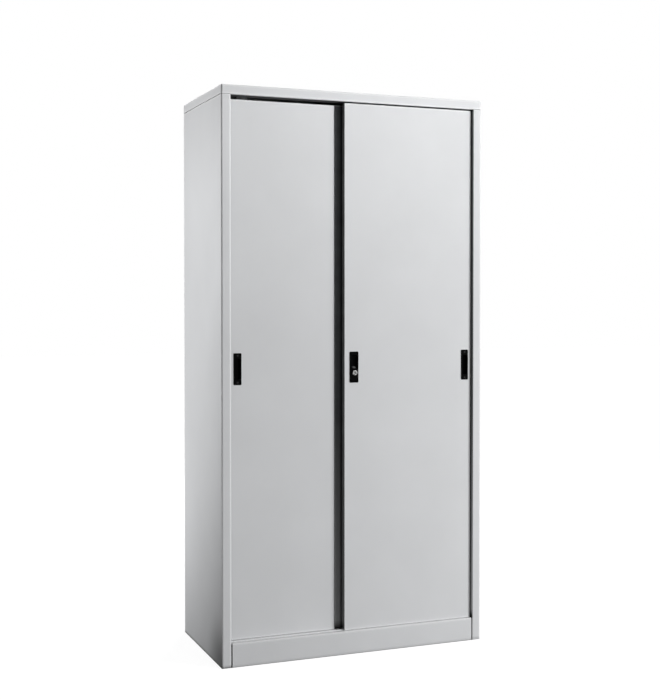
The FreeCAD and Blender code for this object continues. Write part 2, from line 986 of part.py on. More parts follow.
class LockPull:
    """Pull on the meeting edge: a finger recess above and the lock's seat below."""

    def __init__(self, x_left, face):
        self.x = x_left + lock_pull_width / 2
        self.face = face
        reach = pull_height / 2 - lock_pull_end_land
        self.cup_low = pull_center_height - reach
        self.cup_high = pull_center_height + reach

    def hole(self):
        return pull_cup(self.x, self.cup_low, self.cup_high, lock_pull_width, self.face, pin_clearance)

    def body(self):
        rim = pull_rim_plate(self.x, pull_center_height, lock_pull_width, self.face)
        cup = pull_cup(self.x, self.cup_low, self.cup_high, lock_pull_width, self.face, 0)
        body = rim.fuse(cup)
        side = lock_pull_width / 2 - pull_rim_land
        skin = self.face + sheet + side_clearance
        middle = pull_center_height
        for low, high in ((-side - snap_lug, -side), (side, side + snap_lug)):
            lug = block(
                self.x + low,
                self.x + high,
                skin,
                skin + snap_lug_depth,
                middle - snap_lug_height / 2,
                middle + snap_lug_height / 2,
            )
            body = body.fuse(lug)
        recess_top = pull_center_height + pull_height / 2 - lock_recess_top
        recess_width = lock_pull_width - 2 * (pull_rim_land + pull_wall)
        recess = finger_recess(self.x, recess_top - lock_recess_height, recess_top, recess_width, self.face)
        recess = recess.cut(self.boss())
        seat = rod_along_y(
            lock_x,
            lock_z,
            lock_barrel_radius + pin_clearance,
            self.face - pull_rim - overrun,
            self.face + pull_cup_depth + overrun,
        )
        return body.cut([recess, seat])

    def boss(self):
        """Sloped round shoulder over the lock, where the finger recess runs out."""
        top = self.face - pull_rim
        return Part.makeCone(
            lock_boss_radius,
            lock_boss_radius + lock_boss_slope,
            pull_rim + pull_cup_depth,
            vector(lock_x, top, lock_z),
            vector(0, 1, 0),
        )


front_pull = Pull(front_door.x_high - front_pull_inset, front_door.face)
rear_pull = Pull(rear_door.x_low + rear_pull_inset, rear_door.face)
lock_pull = LockPull(front_door.x_low + lock_pull_inset, front_door.face)


# Lock

lock_x = lock_pull.x + lock_side_shift
lock_z = pull_center_height - lock_drop
lock_seat = front_door.face - pull_rim
lock_front = lock_seat - lock_head_length
barrel_rear = front_door.back + barrel_tail
cam_front = barrel_rear + cam_offset
cam_rear = cam_front + cam_thickness


def lock_barrel():
    head = rod_along_y(lock_x, lock_z, lock_head_radius, lock_front, lock_seat)
    front_rim = min(head.Faces, key=lambda side: side.CenterOfMass.y).Edges
    head = head.makeFillet(lock_head_round, front_rim)
    barrel = head.fuse(rod_along_y(lock_x, lock_z, lock_barrel_radius, lock_seat, barrel_rear))
    bore = lock_plug_radius + pin_clearance
    return barrel.cut(rod_along_y(lock_x, lock_z, bore, lock_front - overrun, barrel_rear + overrun))


def lock_nut():
    """Hexagon nut that holds the barrel against the back of the pull."""
    corners = []
    for index in range(lock_nut_corner_count):
        angle = 2 * math.pi * index / lock_nut_corner_count
        corners.append(
            vector(lock_x + lock_nut_radius * math.cos(angle), lock_z + lock_nut_radius * math.sin(angle), 0)
        )
    seat = front_door.face + pull_cup_depth
    nut = along_y(rounded_face(corners, [0.0] * lock_nut_corner_count), seat, seat + lock_nut_thickness)
    bore = lock_barrel_radius + pin_clearance
    return nut.cut(rod_along_y(lock_x, lock_z, bore, seat - overrun, seat + lock_nut_thickness + overrun))


def lock_plug():
    """Turning core with a key slot in front and a tapped hole behind."""
    face = lock_front - lock_plug_proud
    plug = rod_along_y(lock_x, lock_z, lock_plug_radius, face, cam_front)
    key = block(
        lock_x - key_slot_width / 2,
        lock_x + key_slot_width / 2,
        face - overrun,
        face + key_slot_depth,
        lock_z - key_slot_height / 2,
        lock_z + key_slot_height / 2,
    )
    tapped = rod_along_y(
        lock_x, lock_z, cam_screw_radius + pin_clearance, cam_rear - cam_screw_length, cam_front + overrun
    )
    return plug.cut([key, tapped])


def lock_cam():
    """Flat cam that lies level when open, and hooks up beside the striker when turned."""
    outline = rounded_rectangle(
        lock_x,
        lock_x + cam_length,
        lock_z - cam_half_width,
        lock_z + cam_half_width,
        [0.0, cam_tip_round, cam_tip_round, 0.0],
    )
    bar = along_y(outline, cam_front, cam_rear)
    cam = bar.fuse(rod_along_y(lock_x, lock_z, cam_half_width, cam_front, cam_rear))
    hole = cam_screw_radius + pin_clearance
    return cam.cut(rod_along_y(lock_x, lock_z, hole, cam_front - overrun, cam_rear + overrun))


def cam_screw():
    head = rod_along_y(lock_x, lock_z, cam_screw_head_radius, cam_rear, cam_rear + cam_screw_head)
    return head.fuse(
        rod_along_y(lock_x, lock_z, cam_screw_radius, cam_rear - cam_screw_length + pin_clearance, cam_rear)
    )


striker_edge = lock_x - cam_half_width - striker_play
striker_left = striker_edge - striker_sheet - striker_base
striker_heights = (lock_z + striker_low, lock_z + cam_length)


def striker_rivet_places():
    middle = (striker_left + striker_edge - striker_sheet - bend_radius) / 2
    span = striker_heights[1] - striker_heights[0]
    return [(middle, striker_heights[0] + span * share) for share in striker_rivet_shares]


def lock_striker():
    """Angle on the rear door's face whose finger stands beside the turned cam."""
    face = rear_door.face
    tip = front_door.back + striker_tip_gap
    plan = [(striker_edge, tip), (striker_edge, face), (striker_left, face)]
    striker = along_z(folded_section(plan, striker_sheet), striker_heights[0], striker_heights[1])
    for x, z in striker_rivet_places():
        striker = striker.cut(striker_rivet_hole(x, z))
    return striker


def striker_rivet_hole(x, z):
    return rod_along_y(x, z, rivet_radius + pin_clearance, rear_door.face - overrun, rear_door.face + overrun)


def striker_rivets():
    rivets = []
    head_seat = rear_door.face - striker_sheet
    tail_seat = rear_door.face + sheet
    for x, z in striker_rivet_places():
        shank = rod_along_y(x, z, rivet_radius, head_seat, tail_seat)
        head = rod_along_y(x, z, rivet_head_radius, head_seat - rivet_head, head_seat)
        tail = rod_along_y(x, z, rivet_head_radius, tail_seat, tail_seat + rivet_head)
        rivets.append(shank.fuse([head, tail]))
    return rivets


# Door seals


def overlap_seal():
    """Flat rubber strip on the rear door's face, in line with the front door's edge."""
    left = front_door.x_low - overlap_seal_show
    outline = rounded_rectangle(
        left,
        left + overlap_seal_width,
        rear_door.face - overlap_seal_thickness,
        rear_door.face,
        [seal_round, seal_round, 0.0, 0.0],
    )
    return along_z(outline, door_bottom + seal_end_gap, rear_door.top - seal_end_gap)


def edge_seal():
    """Thin rubber strip on the front door's meeting edge."""
    outline = rounded_rectangle(
        front_door.x_low - edge_seal_thickness,
        front_door.x_low,
        front_door.face + edge_seal_front_inset,
        front_door.back - bend_radius - sheet - edge_seal_rear_inset,
        [seal_round, 0.0, 0.0, seal_round],
    )
    return along_z(outline, door_bottom + rail_slot_height() + seal_end_gap, front_door.top - seal_end_gap)


def rail_slot_height():
    return rail_top + rail_door_clearance - door_bottom


# Writing every piece to its own file

os.makedirs("parts", exist_ok=True)
door_middles = (front_door.middle, rear_door.middle)

left_side = side_panel()
save("side_panel_left", left_side)
save("side_panel_right", mirrored(left_side))
save("top_panel", top_panel())
save("back_panel", back_panel())
save("back_panel_screws", *back_panel_screws())
save("top_panel_screws", *top_panel_screws())
save("plinth", plinth())
save("floor_pan", floor_pan())
save("rear_base_rail", rear_base_rail())
save("bottom_rail_front", bottom_rail(front_door.middle))
save("bottom_rail_rear", bottom_rail(rear_door.middle))
save("top_track", top_track(door_middles))
save("post_buffer_left", post_buffer(door_middles))
save("post_buffer_right", closing_buffer(door_middles))
for end_name, place in upright_places.items():
    upright = shelf_upright(place)
    save("shelf_upright_left_" + end_name, upright)
    save("shelf_upright_right_" + end_name, mirrored(upright))
for shelf_name, slot_number in shelf_slot_counts.items():
    save("shelf_" + shelf_name, shelf(slot_number))
save("shelf_clips", *shelf_clips())

for door_name, door in (("front_door", front_door), ("rear_door", rear_door)):
    for hand, x in door.roller_places.items():
        save(door_name + "_bracket_" + hand, door.bracket(x))
        save(door_name + "_axle_" + hand, door.axle(x))
        save(door_name + "_roller_" + hand, door.roller(x))
    for hand, x in door.guide_places.items():
        save(door_name + "_guide_" + hand, door.guide(x))
    save(door_name + "_bracket_rivets", *door.rivets())
    save(door_name + "_stiffener", door.stiffener())

save("front_door_pan", front_door.pan().cut(front_pull.hole() + [lock_pull.hole()]))
save("front_door_pull", front_pull.body())
save("front_door_pull_screws", *front_pull.screws())
save("front_door_edge_seal", edge_seal())
save("lock_pull", lock_pull.body())
save("lock_barrel", lock_barrel())
save("lock_nut", lock_nut())
save("lock_plug", lock_plug())
save("lock_cam", lock_cam())
save("cam_screw", cam_screw())

striker_holes = [striker_rivet_hole(x, z) for x, z in striker_rivet_places()]
save("rear_door_pan", rear_door.pan().cut(rear_pull.hole() + striker_holes))
save("rear_door_pull", rear_pull.body())
save("rear_door_pull_screws", *rear_pull.screws())
save("rear_door_overlap_seal", overlap_seal())
save("lock_striker", lock_striker())
save("striker_rivets", *striker_rivets())
print("door travel", round(door_travel, 3), "mm, roller radius", roller_radius, "mm")
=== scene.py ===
"""Sliding door cabinet: finishes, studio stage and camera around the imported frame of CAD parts."""

import math
from collections import namedtuple

import bpy
from bpy.props import FloatProperty, FloatVectorProperty, PointerProperty
from mathutils import Euler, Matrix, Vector


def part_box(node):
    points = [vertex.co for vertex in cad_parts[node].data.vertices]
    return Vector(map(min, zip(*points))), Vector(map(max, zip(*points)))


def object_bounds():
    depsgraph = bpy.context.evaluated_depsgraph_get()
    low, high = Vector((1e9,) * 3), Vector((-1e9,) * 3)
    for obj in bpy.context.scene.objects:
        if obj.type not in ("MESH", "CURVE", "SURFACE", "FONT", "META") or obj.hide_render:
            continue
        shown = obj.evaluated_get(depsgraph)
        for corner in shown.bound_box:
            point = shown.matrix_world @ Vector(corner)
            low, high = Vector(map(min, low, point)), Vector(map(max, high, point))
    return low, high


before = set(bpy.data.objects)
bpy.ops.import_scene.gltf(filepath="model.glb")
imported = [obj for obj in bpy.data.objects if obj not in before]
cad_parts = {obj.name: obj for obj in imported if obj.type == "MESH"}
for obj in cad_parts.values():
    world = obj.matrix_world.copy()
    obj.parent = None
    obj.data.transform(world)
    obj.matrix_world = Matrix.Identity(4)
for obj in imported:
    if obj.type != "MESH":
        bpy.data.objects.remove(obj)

bl_info = {
    "name": "Sliding Door Cabinet",
    "version": (1, 0, 0),
    "blender": (4, 5, 0),
    "location": "View3D > Sidebar > Cabinet",
    "description": "Finishes the parts of a steel cabinet with two sliding doors and sets its stage",
    "category": "Object",
}

CAD_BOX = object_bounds()

# The photograph's height and its camera's axis and focal length, in pixels
PHOTO_HEIGHT = 700
AXIS_ROW = 321.5
FOCAL_PIXELS = 1212.8

# The camera: length of its sensor's longer side in millimetres, its place in metres, and its aim in degrees
SENSOR = 36.0
CAMERA_PLACE = (-1.5323, -3.8707, 1.1658)
CAMERA_DIP = 1.138
CAMERA_TURN = 21.555

# Softboxes: place, target and width in metres, and the spread in radians of those with a grid on their front
Softbox = namedtuple("Softbox", "place target width spread", defaults=(math.pi,))
DOOR_MIDDLE = (0.05, -0.2, 1.0)
SOFTBOXES = {
    "key": Softbox(place=(2.9, -3.1, 1.2), target=DOOR_MIDDLE, width=1.2),
    "fill": Softbox(place=(0.9, -4.6, 1.3), target=DOOR_MIDDLE, width=1.0),
    "crown": Softbox(place=(1.8, -3.2, 2.2), target=(0.035, -0.2, 2.4), width=0.6, spread=0.77),
    "side": Softbox(place=(-3.0, 2.4, 2.8), target=(-0.46, -0.23, 1.3), width=0.6, spread=0.536),
    "foot": Softbox(place=(-2.47, 0.4, 0.2), target=(-0.46, 0.485, 0.464), width=0.3, spread=0.862),
    "back": Softbox(place=(1.6, 3.2, 2.6), target=(0.0, 0.2, 1.0), width=1.2),
    "top": Softbox(place=(0.0, 0.0, 3.4), target=(0.0, 0.0, 1.8), width=0.4, spread=2.2),
}

# Patches of colour in the finishes: the distance between them in metres
PAINT_CLOUDS = 0.22
RUBBER_BLOOM = 0.05
TRACK_RUBBING = 0.002
PLASTIC_MOTTLE = 0.012
NYLON_FLOW = 0.006
LOCK_TARNISH = 0.003
ZINC_SPANGLE = 0.004

# Relief of the finishes: the distance between its marks, and their depth, in metres
Relief = namedtuple("Relief", "size depth")
RUBBER_STREAKS = Relief(size=0.0012, depth=0.00012)
RUBBER_GRAIN = Relief(size=0.0006, depth=0.00004)
TRACK_PEEL = Relief(size=0.0012, depth=0.00003)
PLASTIC_GRAIN = Relief(size=0.0004, depth=0.00004)
NYLON_GRAIN = Relief(size=0.0005, depth=0.00002)
LOCK_RINGS = Relief(size=0.0012, depth=0.000015)
ZINC_SCUFFS = Relief(size=0.003, depth=0.00002)
SCREW_RUBBING = Relief(size=0.0015, depth=0.00003)

# How far a pattern is drawn out along each axis
EVEN = (1.0, 1.0, 1.0)
ALONG_STRIPS = (1.0, 1.0, 160.0)
ALONG_TRACK = (90.0, 1.0, 1.0)
FLAT_ON_SIDE = (0.01, 1.0, 1.0)
# Shape of the painted highlight on the lock pull
HIGHLIGHT_SHAPE = (1.0, 1.5, 0.5)


def on_both_doors(*pieces):
    """Names of the like nodes that both doors carry."""
    return tuple(f"{door}_door_{piece}" for door in ("front", "rear") for piece in pieces)


# Nodes that share a finish
# The side that takes painted shade at its front foot
CORNER_SHADED_SIDE = "side_panel_left"
SKINS = ("side_panel_right", "top_panel", "back_panel")
LEDGE = ("plinth", "bottom_rail_front", "bottom_rail_rear")
INNER_SHEETS = ("floor_pan", "rear_base_rail")
UPRIGHTS = tuple(f"shelf_upright_{side}_{end}" for end in ("front", "rear") for side in ("left", "right"))
SHELVES = ("shelf_lower", "shelf_middle", "shelf_upper")
DOORS = on_both_doors("pan", "stiffener")
STRIPS = ("post_buffer_left", "post_buffer_right", "rear_door_overlap_seal")
EDGE_SEAL = "front_door_edge_seal"
PULLS = on_both_doors("pull")
PULL_SCREWS = on_both_doors("pull_screws")
LOCK_WORKS = ("lock_nut", "lock_cam", "cam_screw", "lock_striker", "striker_rivets")
BODY_FASTENERS = ("back_panel_screws", "top_panel_screws", "shelf_clips")
ROLLERS = on_both_doors("roller_left", "roller_right")
GUIDES = on_both_doors("guide_left", "guide_right")
BRACKETS = on_both_doors("bracket_left", "bracket_right", "axle_left", "axle_right", "bracket_rivets")


# Settings


def colour_setting(name, description, default):
    return FloatVectorProperty(
        name=name, description=description, default=default, size=3, subtype="COLOR", min=0.0, max=1.0
    )


def length_setting(name, description, default):
    return FloatProperty(
        name=name, description=description, default=default, min=0.0, unit="LENGTH", precision=5
    )


def share_setting(name, description, default):
    return FloatProperty(
        name=name, description=description, default=default, min=0.0, max=1.0, subtype="FACTOR"
    )


def power_setting(name, description, default):
    return FloatProperty(name=name, description=description, default=default, min=0.0, unit="POWER")


class CabinetPaintSettings(bpy.types.PropertyGroup):
    """Powder coat of the carcass and the doors"""

    colour: colour_setting("Paint", "Colour of the powder coat", (0.66, 0.668, 0.68))
    # Painted highlight: every fold takes this lighter colour, in place of the light that its rounded edge
    # catches
    fold_highlight: colour_setting("Edge paint", "Colour of the thin coat on a fold", (0.765, 0.772, 0.782))
    roughness: share_setting("Roughness", "Roughness of the satin coat", 0.55)
    peel_size: length_setting("Orange peel", "Distance between the coat's dimples", 0.0016)
    peel_depth: length_setting("Peel depth", "Depth of the coat's dimples", 0.00003)
    wave_size: length_setting("Sheet wave", "Distance between the slow waves of the rolled sheet", 0.30)
    wave_depth: length_setting("Wave depth", "Depth of the slow waves of the rolled sheet", 0.0005)
    # Width of the band of painted highlight along each fold
    edge_width: length_setting("Edge width", "Width of the thin coat along a fold", 0.008)
    # Painted shade in seams: near another surface the paint darkens, down to the share on the next line
    seam_reach: length_setting("Seam reach", "Distance to another surface where grime gathers", 0.012)
    seam_shade: share_setting("Grime", "Share of the paint's colour left in the deepest seams", 0.12)
    # Painted shade at the left side's front foot: the share of the paint's colour left there, and its reach
    corner_shade: share_setting("Kick marks", "Share of the paint's colour left at the left side's front foot", 0.2)
    corner_shade_reach: length_setting("Kick reach", "Distance that the kick marks reach from that foot", 0.195)
    # Painted top light: the ledge's upward faces take this paler colour
    pale_tint: colour_setting("Ledge dust", "Colour of the dust on the ledge", (0.9, 0.905, 0.91))
    # Painted shade along the floor: the share of the paint's colour left there, and the height it reaches
    floor_shade: share_setting("Mop line", "Share of the paint's colour left along the floor", 0.8)
    floor_shade_height: length_setting("Mop height", "Height that the mop line reaches", 0.01)


class CabinetFittingSettings(bpy.types.PropertyGroup):
    """Strips, track, pulls, lock and running gear"""

    rubber: colour_setting("Rubber", "Colour of the wide seal and the buffers", (0.034, 0.036, 0.038))
    # The rubber strips turn towards this paler colour lower down, below the height on the next line
    pale_tint: colour_setting("Dust", "Colour of the dust low on the rubber strips", (0.18, 0.182, 0.184))
    pale_tint_height: length_setting("Dust height", "Height that the dust on the strips reaches", 0.8)
    # Painted shade at the strips' foot: this near-black colour, up to the height on the next line
    foot_shade: colour_setting("Grease", "Colour of the grease at the strips' foot", (0.002, 0.002, 0.002))
    foot_shade_height: length_setting("Grease height", "Height that the grease on the strips reaches", 0.105)
    edge_rubber: colour_setting("Edge seal", "Colour of the front door's edge strip", (0.13, 0.133, 0.136))
    track: colour_setting("Track", "Colour of the coated top track", (0.035, 0.036, 0.038))
    plastic: colour_setting("Pulls", "Colour of the moulded pulls", (0.0012, 0.0012, 0.0013))
    guide: colour_setting("Guides", "Colour of the moulded top guides", (0.045, 0.046, 0.048))
    # Painted highlight on the lock pull's slope above the lock: its grey, its height over the lock's axis,
    # and its sideways reach
    scuff: colour_setting("Scuff", "Colour of the patch that keys have rubbed", (0.2, 0.2, 0.203))
    highlight_rise: length_setting("Scuff rise", "Height of the rubbed patch over the lock's axis", 0.0185)
    highlight_reach: length_setting("Scuff reach", "Distance that the rubbed patch reaches sideways", 0.01)
    screw: colour_setting("Pull screws", "Colour of the blackened screws", (0.012, 0.012, 0.013))
    chrome: colour_setting("Lock", "Colour of the plated lock cylinder", (0.19, 0.19, 0.188))
    plug: colour_setting("Lock plug", "Colour of the turning plug", (0.15, 0.15, 0.15))
    zinc: colour_setting("Zinc", "Colour of the zinc-plated steel", (0.58, 0.59, 0.60))
    nylon: colour_setting("Nylon", "Colour of the rollers", (0.76, 0.75, 0.70))


class CabinetStageSettings(bpy.types.PropertyGroup):
    """Floor, surroundings and lamps"""

    floor_colour: colour_setting("Floor", "Colour of the studio floor", (0.3, 0.3, 0.3))
    floor_size: length_setting("Floor size", "Width of the square floor", 40.0)
    near_lift: share_setting("Near lift", "White that the camera sees on the floor by the cabinet", 0.92)
    far_lift: share_setting("Far lift", "White that the camera sees on the floor far away", 1.0)
    near_reach: length_setting("Near reach", "Distance where the lift starts to grow", 0.7)
    far_reach: length_setting("Far reach", "Distance where the far lift is full", 3.0)
    ambient: share_setting("Ambient", "Strength of the light from all round", 0.07)
    key_power: power_setting("Key", "Lamp in front on the right", 118.0)
    fill_power: power_setting("Fill", "Lamp straight in front", 48.0)
    crown_power: power_setting("Crown", "Lamp with a grid in front, aimed at the cabinet's top", 3.75)
    side_power: power_setting("Side", "Lamp with a grid, behind on the left, aimed at the side", 5.85)
    foot_power: power_setting("Foot", "Small lamp with a grid on the left, aimed at the side's foot", 2.5)
    back_power: power_setting("Back", "Lamp behind on the right", 48.0)
    top_power: power_setting("Top", "Small lamp with a grid, straight over the cabinet", 4.8)


class CabinetSettings(bpy.types.PropertyGroup):
    """All the settings of the cabinet and its stage"""

    paint: PointerProperty(name="Paint", description="Powder coat", type=CabinetPaintSettings)
    fittings: PointerProperty(name="Fittings", description="Strips to rollers", type=CabinetFittingSettings)
    stage: PointerProperty(name="Stage", description="Floor and lamps", type=CabinetStageSettings)


# Node helpers


class Nodes:
    """The node tree of a material or world, emptied, and short ways to fill it."""

    def __init__(self, owner):
        owner.use_nodes = True
        self.tree = owner.node_tree
        self.tree.nodes.clear()

    def node(self, kind, values=None, **attributes):
        """A new shader node, with its attributes and then its sockets' values set."""
        node = self.tree.nodes.new("ShaderNode" + kind)
        for key, value in attributes.items():
            setattr(node, key, value)
        for key, value in (values or {}).items():
            node.inputs[key].default_value = value
        return node

    def link(self, source, output, target, socket):
        self.tree.links.new(source.outputs[output], target.inputs[socket])

    def spread(self, source, output, low, high, start=0.3, stop=0.7):
        """A node's value, mapped from its range between start and stop to one between low and high."""
        values = {"From Min": start, "From Max": stop, "To Min": low, "To Max": high}
        mapped = self.node("MapRange", values)
        self.link(source, output, mapped, "Value")
        return mapped


class Finish(Nodes):
    """A material under construction: a Principled shader and the textures around it."""

    def __init__(self, name):
        self.material = bpy.data.materials.new(name)
        super().__init__(self.material)
        self.shader = self.node("BsdfPrincipled")
        self.link(self.shader, "BSDF", self.node("OutputMaterial"), "Surface")

    def set(self, **values):
        """Uniform values on the shader's own sockets; an underscore in a name stands for a space."""
        for key, value in values.items():
            self.shader.inputs[key.replace("_", " ")].default_value = value

    def place(self, size, centre=(0.0, 0.0, 0.0), stretch=EVEN):
        """Object coordinates from a centre, counted in lengths of the given size and drawn out by stretch."""
        moved = self.node("VectorMath", {1: centre}, operation="SUBTRACT")
        self.link(self.node("TexCoord"), "Object", moved, 0)
        counts = [1.0 / (size * length) for length in stretch]
        counted = self.node("VectorMath", {1: counts}, operation="MULTIPLY")
        self.link(moved, "Vector", counted, 0)
        return counted

    def height(self, size):
        """Height over the floor, on the socket Z, counted in lengths of the given size."""
        return self.parts_of(self.place(size), "Vector")

    def distance_from(self, centre, reach, stretch):
        """Distance from a point, counted in reaches and drawn out by stretch."""
        distance = self.node("VectorMath", operation="LENGTH")
        self.link(self.place(reach, centre, stretch), "Vector", distance, 0)
        return distance

    def parts_of(self, source, output):
        parts = self.node("SeparateXYZ")
        self.link(source, output, parts, "Vector")
        return parts

    def noise(self, size, detail=2.0, stretch=EVEN):
        texture = self.node("TexNoise", {"Scale": 1.0, "Detail": detail})
        self.link(self.place(size, stretch=stretch), "Vector", texture, "Vector")
        return texture

    def shades(self, source, output, colour, darkest, lightest):
        """A colour between two shades, given as shares of it, as a node's value says."""
        values = {"A": (*shaded(colour, darkest), 1.0), "B": (*shaded(colour, lightest), 1.0)}
        mix = self.node("Mix", values, data_type="RGBA")
        self.link(source, output, mix, "Factor")
        return mix

    def mottled(self, texture, colour, darkest, lightest):
        """A colour that drifts with a texture between two shades, given as shares of it."""
        drift = self.spread(texture, "Fac", 0.0, 1.0)
        return self.shades(drift, "Result", colour, darkest, lightest)

    def layer(self, below, colour, cover):
        """A colour laid over a mix, as far as its cover says."""
        mix = self.node("Mix", {"B": (*colour, 1.0)}, data_type="RGBA")
        self.link(cover, "Result", mix, "Factor")
        self.link(below, "Result", mix, "A")
        return mix

    def colour_from(self, mix):
        self.link(mix, "Result", self.shader, "Base Color")

    def roughness_from(self, texture, smoothest, roughest):
        self.link(self.spread(texture, "Fac", smoothest, roughest), "Result", self.shader, "Roughness")

    def relief_from(self, *layers):
        """Bump layers, each a texture with its depth in metres, chained into the shader's normal."""
        before = None
        for texture, depth in layers:
            bump = self.node("Bump", {"Strength": 1.0, "Distance": depth})
            self.link(texture, "Fac", bump, "Height")
            if before is not None:
                self.link(before, "Normal", bump, "Normal")
            before = bump
        self.link(before, "Normal", self.shader, "Normal")


def shaded(colour, share):
    return [min(1.0, channel * share) for channel in colour]


def give(names, material):
    for name in names:
        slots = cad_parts[name].data.materials
        slots.clear()
        slots.append(material)


def settings(context):
    return context.scene.cabinet


# Finishes


def powder_coat(name, paint, seam_shade=1.0, corner_shade_at=None, top_light_painted=False, floor_shaded=False):
    """Satin powder coat with clouding, orange peel, the rolled sheet's slow waves, and a painted highlight
    on each fold.

    It may take painted shade in its seams, painted shade round one point, painted top light on the faces that
    look up, and painted shade along the floor.
    """
    finish = Finish(name)
    finish.set(Roughness=paint.roughness, Specular_IOR_Level=0.08)
    clouds = finish.noise(PAINT_CLOUDS, detail=3.0)
    coat = finish.mottled(clouds, paint.colour, darkest=0.975, lightest=1.02)
    surface = finish.node("NewGeometry")
    # Painted highlight: a lighter colour on each fold
    coat = finish.layer(coat, paint.fold_highlight, fold_highlight_mask(finish, surface, paint))
    # Painted top light: faces that look up take a paler colour
    if top_light_painted:
        upward = finish.parts_of(surface, "True Normal")
        coat = finish.layer(coat, paint.pale_tint, finish.spread(upward, "Z", 0.0, 1.0, start=0.5, stop=0.95))
    # Painted shade: the coat darkens in seams, along the floor and round one foot, as asked
    shaded_coat = finish.node("VectorMath", operation="SCALE")
    finish.link(coat, "Result", shaded_coat, 0)
    unshaded = unshaded_share(finish, paint, seam_shade, floor_shaded)
    if corner_shade_at is None:
        finish.link(unshaded, "Result", shaded_coat, "Scale")
    else:
        both = finish.node("Math", operation="MULTIPLY")
        finish.link(unshaded, "Result", both, 0)
        finish.link(corner_unshaded_share(finish, paint, corner_shade_at), "Result", both, 1)
        finish.link(both, "Value", shaded_coat, "Scale")
    finish.link(shaded_coat, "Vector", finish.shader, "Base Color")
    wave = finish.noise(paint.wave_size, detail=1.0)
    peel = finish.noise(paint.peel_size)
    finish.relief_from((wave, paint.wave_depth), (peel, paint.peel_depth))
    return finish.material


def fold_highlight_mask(finish, surface, paint):
    """Where the painted highlight lies: one on a fold, where a bevelled normal leaves the surface's own,
    and zero on flat sheet.
    """
    rounded = finish.node("Bevel", {"Radius": paint.edge_width}, samples=4)
    alike = finish.node("VectorMath", operation="DOT_PRODUCT")
    finish.link(rounded, "Normal", alike, 0)
    finish.link(surface, "True Normal", alike, 1)
    return finish.spread(alike, "Value", 0.0, 1.0, start=1.0, stop=0.97)


def unshaded_share(finish, paint, seam_shade, floor_shaded):
    """Share of the paint's colour left by the painted shade in the seams and, where asked, along the floor.
    """
    openness = finish.node("AmbientOcclusion", {"Distance": paint.seam_reach}, samples=8)
    # Painted shade in seams, deepest where the ambient occlusion is lowest
    unshaded = finish.spread(openness, "AO", seam_shade, 1.0, start=0.45, stop=0.95)
    if not floor_shaded:
        return unshaded
    # Painted shade along the floor, over the lowest part of the sheet
    over_floor = finish.spread(finish.height(paint.floor_shade_height), "Z", paint.floor_shade, 1.0, start=0.3, stop=1.0)
    finish.link(unshaded, "Result", over_floor, "To Max")
    return over_floor


def corner_unshaded_share(finish, paint, foot):
    """Share of the paint's colour left by the painted shade round a foot of the sheet."""
    distance = finish.distance_from(foot, paint.corner_shade_reach, FLAT_ON_SIDE)
    # Painted shade round the foot, fading out smoothly with distance
    outside_shade = finish.spread(distance, "Value", paint.corner_shade, 1.0, start=0.0, stop=1.0)
    outside_shade.interpolation_type = "SMOOTHSTEP"
    return outside_shade


def extruded_rubber(name, colour, fittings):
    """Matt rubber strip with streaks along its length, a paler colour lower down, and painted shade at its
    foot.
    """
    finish = Finish(name)
    finish.set(Specular_IOR_Level=0.12)
    streaks = finish.noise(RUBBER_STREAKS.size, detail=3.0, stretch=ALONG_STRIPS)
    bloom = finish.noise(RUBBER_BLOOM, detail=4.0)
    strip = finish.mottled(bloom, colour, darkest=0.85, lightest=1.25)
    # Paler towards the bottom of the strip
    low = finish.spread(finish.height(fittings.pale_tint_height), "Z", 1.0, 0.0, start=0.1, stop=1.0)
    strip = finish.layer(strip, fittings.pale_tint, low)
    # Painted shade at the strip's foot
    foot = finish.spread(finish.height(fittings.foot_shade_height), "Z", 1.0, 0.0, start=0.78, stop=1.0)
    finish.colour_from(finish.layer(strip, fittings.foot_shade, foot))
    finish.roughness_from(streaks, smoothest=0.55, roughest=0.75)
    grain = finish.noise(RUBBER_GRAIN.size)
    finish.relief_from((streaks, RUBBER_STREAKS.depth), (grain, RUBBER_GRAIN.depth))
    return finish.material


def coated_track(name, colour):
    """Dark coated steel of the guide track, worn smoother where the guides run."""
    finish = Finish(name)
    finish.set(Specular_IOR_Level=0.3)
    rubbing_and_sheen = finish.noise(TRACK_RUBBING, detail=3.0, stretch=ALONG_TRACK)
    finish.colour_from(finish.mottled(rubbing_and_sheen, colour, darkest=0.8, lightest=1.4))
    finish.roughness_from(rubbing_and_sheen, smoothest=0.4, roughest=0.7)
    finish.relief_from((finish.noise(TRACK_PEEL.size), TRACK_PEEL.depth))
    return finish.material


def moulded_plastic(name, colour):
    """Plastic with a fine spark-eroded grain and a faint mottle, still open to a further layer."""
    finish = Finish(name)
    finish.set(Specular_IOR_Level=0.01)
    mottle = finish.noise(PLASTIC_MOTTLE, detail=3.0)
    plastic = finish.mottled(mottle, colour, darkest=0.8, lightest=1.5)
    finish.colour_from(plastic)
    finish.roughness_from(mottle, smoothest=0.38, roughest=0.52)
    finish.relief_from((finish.noise(PLASTIC_GRAIN.size), PLASTIC_GRAIN.depth))
    return finish, plastic


def plain_plastic(name, colour):
    """Moulded plastic as it left the mould."""
    finish, _ = moulded_plastic(name, colour)
    return finish.material


def highlighted_plastic(name, fittings, highlight_at):
    """Moulded plastic of a pull with one grey patch, a painted highlight."""
    finish, plastic = moulded_plastic(name, fittings.plastic)
    # Painted highlight: a grey patch round one point of the pull
    distance = finish.distance_from(highlight_at, fittings.highlight_reach, HIGHLIGHT_SHAPE)
    rubbing_and_sheen = finish.spread(distance, "Value", 1.0, 0.0, start=0.3, stop=1.0)
    finish.colour_from(finish.layer(plastic, fittings.scuff, rubbing_and_sheen))
    return finish.material


